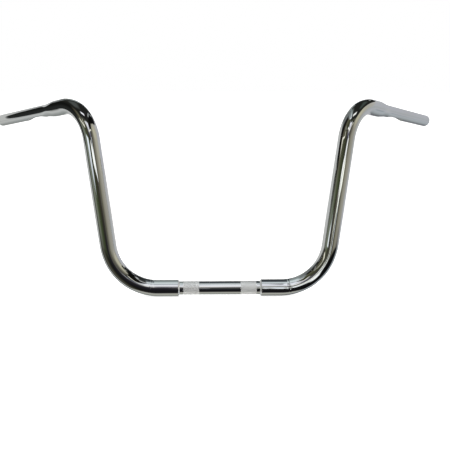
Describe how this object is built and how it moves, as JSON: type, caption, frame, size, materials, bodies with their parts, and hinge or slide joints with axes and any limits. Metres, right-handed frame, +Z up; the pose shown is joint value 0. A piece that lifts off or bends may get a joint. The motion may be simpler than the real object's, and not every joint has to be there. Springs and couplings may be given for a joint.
{
  "type": "motorcycle handlebar",
  "caption": "Tall ape-hanger handlebar: thin knurled clamp tube stepped to thick uprights that bend out and back into thin grips with a wiring dimple.",
  "frame": {"origin": "middle of the clamp tube, on its axis", "axes": "+X along the clamp tube to the rider's left grip, +Y towards the rider (the way the grips are pulled back), +Z up"},
  "size_m": [0.9958, 0.2403, 0.3861],
  "materials": {
    "chrome_tube": "polished chrome plate",
    "chrome_clamp": "polished chrome plate with two satin knurled bands",
    "chrome_weld": "weld dressed, polished and chrome plated"
  },
  "bodies": {
    "root": {"clamp_tube": "chrome_clamp", "left_main_tube": "chrome_tube", "right_main_tube": "chrome_tube", "left_step_weld": "chrome_weld", "right_step_weld": "chrome_weld", "left_plug_welds": "chrome_weld", "right_plug_welds": "chrome_weld"}
  },
  "joints": []
}
